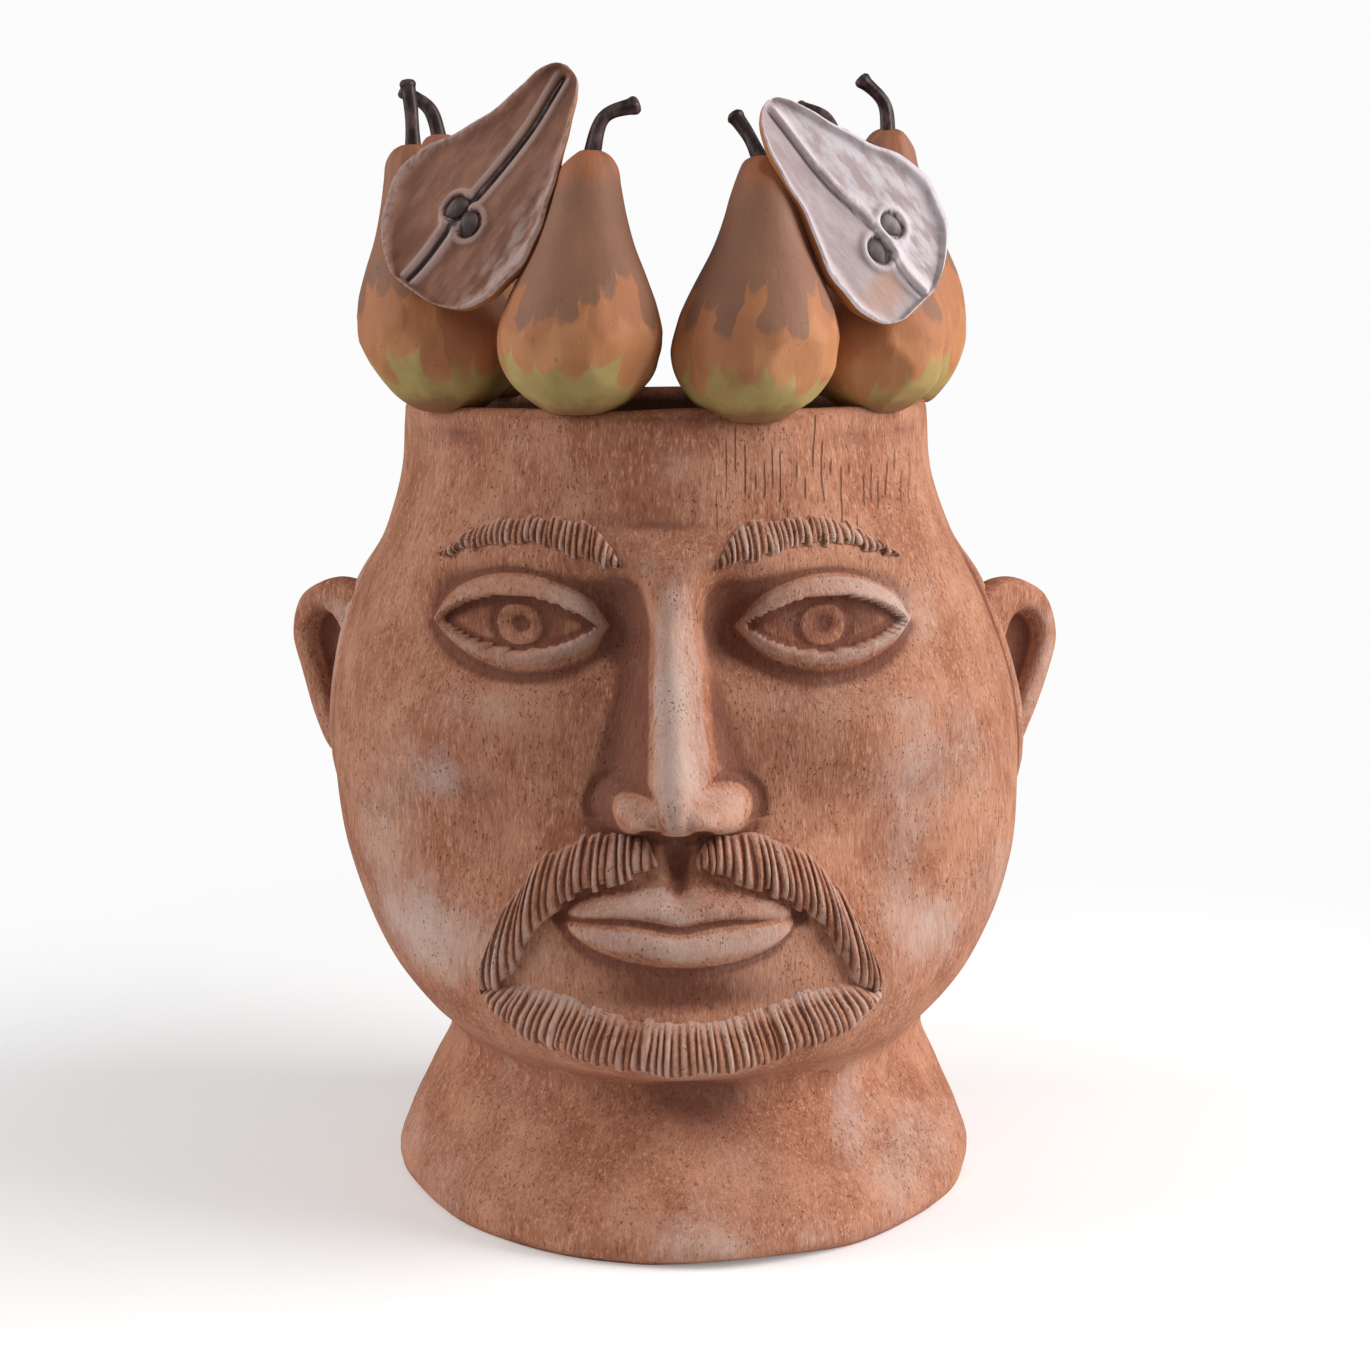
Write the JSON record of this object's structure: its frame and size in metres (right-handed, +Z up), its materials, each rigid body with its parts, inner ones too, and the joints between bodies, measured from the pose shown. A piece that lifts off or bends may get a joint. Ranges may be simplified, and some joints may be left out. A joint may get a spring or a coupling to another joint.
{
  "type": "head planter",
  "caption": "Hollow terracotta planter shaped as a head with a moustache and beard, open at the forehead, crowned with clay pears and two cut half pears; drain hole in the foot.",
  "frame": {"origin": "middle of the drain hole, in the plane of the foot that stands on the ground", "axes": "+Z up, -Y the way the face looks, +X to the right of a viewer in front"},
  "size_m": [0.3276, 0.2931, 0.4577],
  "materials": {
    "terracotta": "matt fired clay, brushed with pale and dark washes",
    "pear_slip": "matt coloured slip, olive below, ochre in the middle, mauve brown above",
    "core_slip": "matt grey mauve slip",
    "stem_slip": "satin dark brown slip"
  },
  "bodies": {
    "root": {"brow_left": "terracotta", "brow_right": "terracotta", "chin_beard": "terracotta", "core_thread_left": "core_slip", "core_thread_right": "core_slip", "ear_left": "terracotta", "ear_right": "terracotta", "eye_left": "terracotta", "eye_right": "terracotta", "floor_slab": "terracotta", "half_pear_left": "pear_slip", "half_pear_right": "pear_slip", "head_shell": "terracotta", "lower_lip": "terracotta", "moustache_left": "terracotta", "moustache_right": "terracotta", "neck_base": "terracotta", "nose": "terracotta", "pear_back_left": "pear_slip", "pear_back_right": "pear_slip", "pear_front_left": "pear_slip", "pear_front_right": "pear_slip", "pear_left_back": "pear_slip", "pear_left_front": "pear_slip", "pear_left_side": "pear_slip", "pear_right_back": "pear_slip", "pear_right_front": "pear_slip", "pear_right_side": "pear_slip", "seeds_left": "core_slip", "seeds_right": "core_slip", "stem_back_left": "stem_slip", "stem_back_right": "stem_slip", "stem_front_left": "stem_slip", "stem_front_right": "stem_slip", "stem_left_back": "stem_slip", "stem_left_front": "stem_slip", "stem_left_side": "stem_slip", "stem_right_back": "stem_slip", "stem_right_front": "stem_slip", "stem_right_side": "stem_slip", "upper_lip": "terracotta"}
  },
  "joints": []
}
